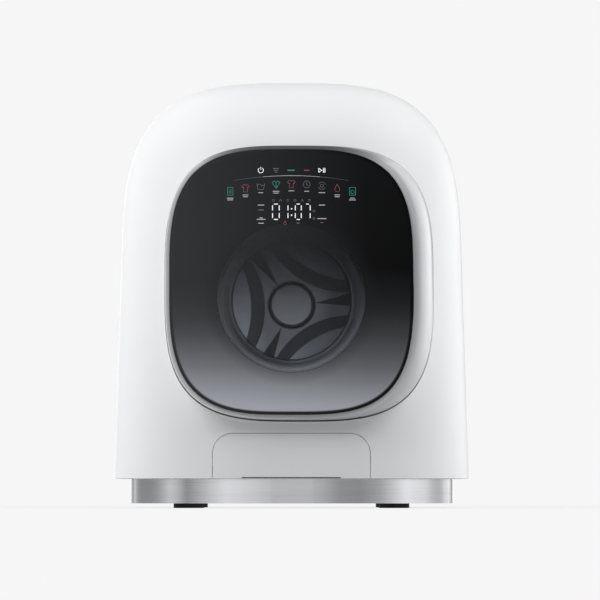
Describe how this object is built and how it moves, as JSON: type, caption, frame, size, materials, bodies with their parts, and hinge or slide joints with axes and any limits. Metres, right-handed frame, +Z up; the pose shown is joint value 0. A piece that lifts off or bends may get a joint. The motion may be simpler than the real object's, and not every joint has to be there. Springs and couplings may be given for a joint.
{
  "type": "compact front loading washer dryer",
  "caption": "Arched compact front-loading washer-dryer with a rounded-square glass door, a detergent drawer and a steel plinth; sprung tub with direct-drive drum.",
  "frame": {"origin": "on the floor, at the middle of the outer box", "axes": "+X to the machine's right seen from the front, +Y from the door to the back, +Z up"},
  "size_m": [0.43, 0.4, 0.516],
  "materials": {
    "white_shell": "smooth glossy white moulding",
    "door_trim": "satin pearl white moulding",
    "plinth_steel": "brushed along its length",
    "foot_rubber": "matt black",
    "zinc_steel": "zinc plated sheet and bar",
    "damper_plastic": "matt black",
    "rod_chrome": "polished",
    "base_plastic": "moulded grey",
    "rear_sheet": "powder coated off-white",
    "door_glass": "dark tinted, polished",
    "bowl_glass": "clear pressed glass",
    "door_inner": "dark grey moulding",
    "display": "black light guide and touch board",
    "lock_plastic": "natural white",
    "seal_rubber": "grey",
    "tub_plastic": "filled polypropylene",
    "weight": "rough cast",
    "drum_steel": "stainless, brushed",
    "drum_moulding": "metallic grey",
    "cast_aluminium": "die cast",
    "seal_black": "black",
    "stator_core": "varnished windings",
    "rotor_steel": "dark coated",
    "duct_plastic": "moulded grey",
    "fan_plastic": "black",
    "motor_case": "grey",
    "heater_fins": "plain fins",
    "tray_plastic": "white",
    "pump_plastic": "natural",
    "filter_plastic": "blue grey",
    "hose_rubber": "grey",
    "gland_plastic": "black",
    "board_plastic": "white",
    "circuit": "solder mask green"
  },
  "bodies": {
    "cabinet": {"feet": "foot_rubber", "foot_studs": "zinc_steel", "plinth": "plinth_steel", "base_tray": "base_plastic", "casing": "white_shell", "rear_cover": "rear_sheet", "wall_rails": "zinc_steel", "hinge_arm": "zinc_steel", "door_lock": "lock_plastic", "door_gasket": "seal_rubber", "uprights": "zinc_steel", "springs": "zinc_steel", "damper_cylinders": "damper_plastic", "drawer_bay": "tray_plastic", "pump_body": "pump_plastic", "pump_motor": "motor_case", "sump_hose": "seal_rubber", "drain_hose": "hose_rubber", "drain_spigot": "pump_plastic", "inlet_valve": "pump_plastic", "inlet_hose": "hose_rubber", "power_gland": "gland_plastic", "board_housing": "board_plastic", "control_board": "circuit"},
    "door": {"door_ring": "door_trim", "door_glass": "door_glass", "door_frame": "door_inner", "door_bowl": "bowl_glass", "display_module": "display", "hinge_pin": "zinc_steel", "latch_pin": "zinc_steel"},
    "latch": {"latch_hook": "lock_plastic"},
    "bolt": {"lock_bolt": "lock_plastic"},
    "drawer": {"drawer_front": "white_shell", "drawer_tray": "tray_plastic"},
    "filter": {"filter_plug": "filter_plastic"},
    "pump_rotor": {"pump_impeller": "fan_plastic"},
    "tub": {"tub_front": "tub_plastic", "tub_rear": "tub_plastic", "counterweight": "weight", "shaft_seal": "seal_black", "front_bearing": "rod_chrome", "rear_bearing": "rod_chrome", "bearing_housing": "cast_aluminium", "stator": "stator_core", "damper_rods": "rod_chrome", "fan_housing": "duct_plastic", "fan_motor": "motor_case", "heater_duct": "duct_plastic", "heater_element": "heater_fins"},
    "drum": {"drum": "drum_steel", "lifters": "drum_moulding", "drum_back": "drum_moulding", "hub_cap": "drum_moulding", "spider": "cast_aluminium", "drum_shaft": "rod_chrome", "rotor": "rotor_steel", "rotor_bolt": "zinc_steel"},
    "fan": {"fan_impeller": "fan_plastic"}
  },
  "joints": [
    {"name": "door_hinge", "type": "hinge", "parent": "cabinet", "child": "door", "pos_m": [-0.141, -0.17, 0.269], "axis": [0, 0, 1], "range_deg": [-105, 0]},
    {"name": "latch_release", "type": "hinge", "parent": "door", "child": "latch", "pos_m": [0.15, -0.146, 0.269], "axis": [0, 0, 1], "range_deg": [-12, 0], "stiffness_Nm_per_rad": 0.2, "springref_deg": 8.59},
    {"name": "lock_bolt_slide", "type": "slide", "parent": "cabinet", "child": "bolt", "axis": [1, 0, 0], "range_m": [0, 0.0045]},
    {"name": "drawer_slide", "type": "slide", "parent": "cabinet", "child": "drawer", "axis": [0, -1, 0], "range_m": [0, 0.11]},
    {"name": "filter_turn", "type": "hinge", "parent": "cabinet", "child": "filter", "pos_m": [0, -0.03, 0.064], "axis": [0, -1, 0], "range_deg": [0, 90]},
    {"name": "pump_spin", "type": "hinge", "parent": "cabinet", "child": "pump_rotor", "pos_m": [0, 0.013, 0.064], "axis": [0, 1, 0], "continuous": true},
    {"name": "tub_bounce", "type": "slide", "parent": "cabinet", "child": "tub", "axis": [0, 0, 1], "range_m": [-0.004, 0.004], "stiffness_N_per_m": 16000, "springref_m": 0.00583, "deforming": ["springs", "sump_hose", "door_gasket"]},
    {"name": "drum_spin", "type": "hinge", "parent": "tub", "child": "drum", "pos_m": [0, 0, 0.25], "axis": [0, 1, 0], "continuous": true},
    {"name": "fan_spin", "type": "hinge", "parent": "tub", "child": "fan", "pos_m": [-0.06, 0.005, 0.428], "axis": [0, 0, 1], "continuous": true}
  ]
}
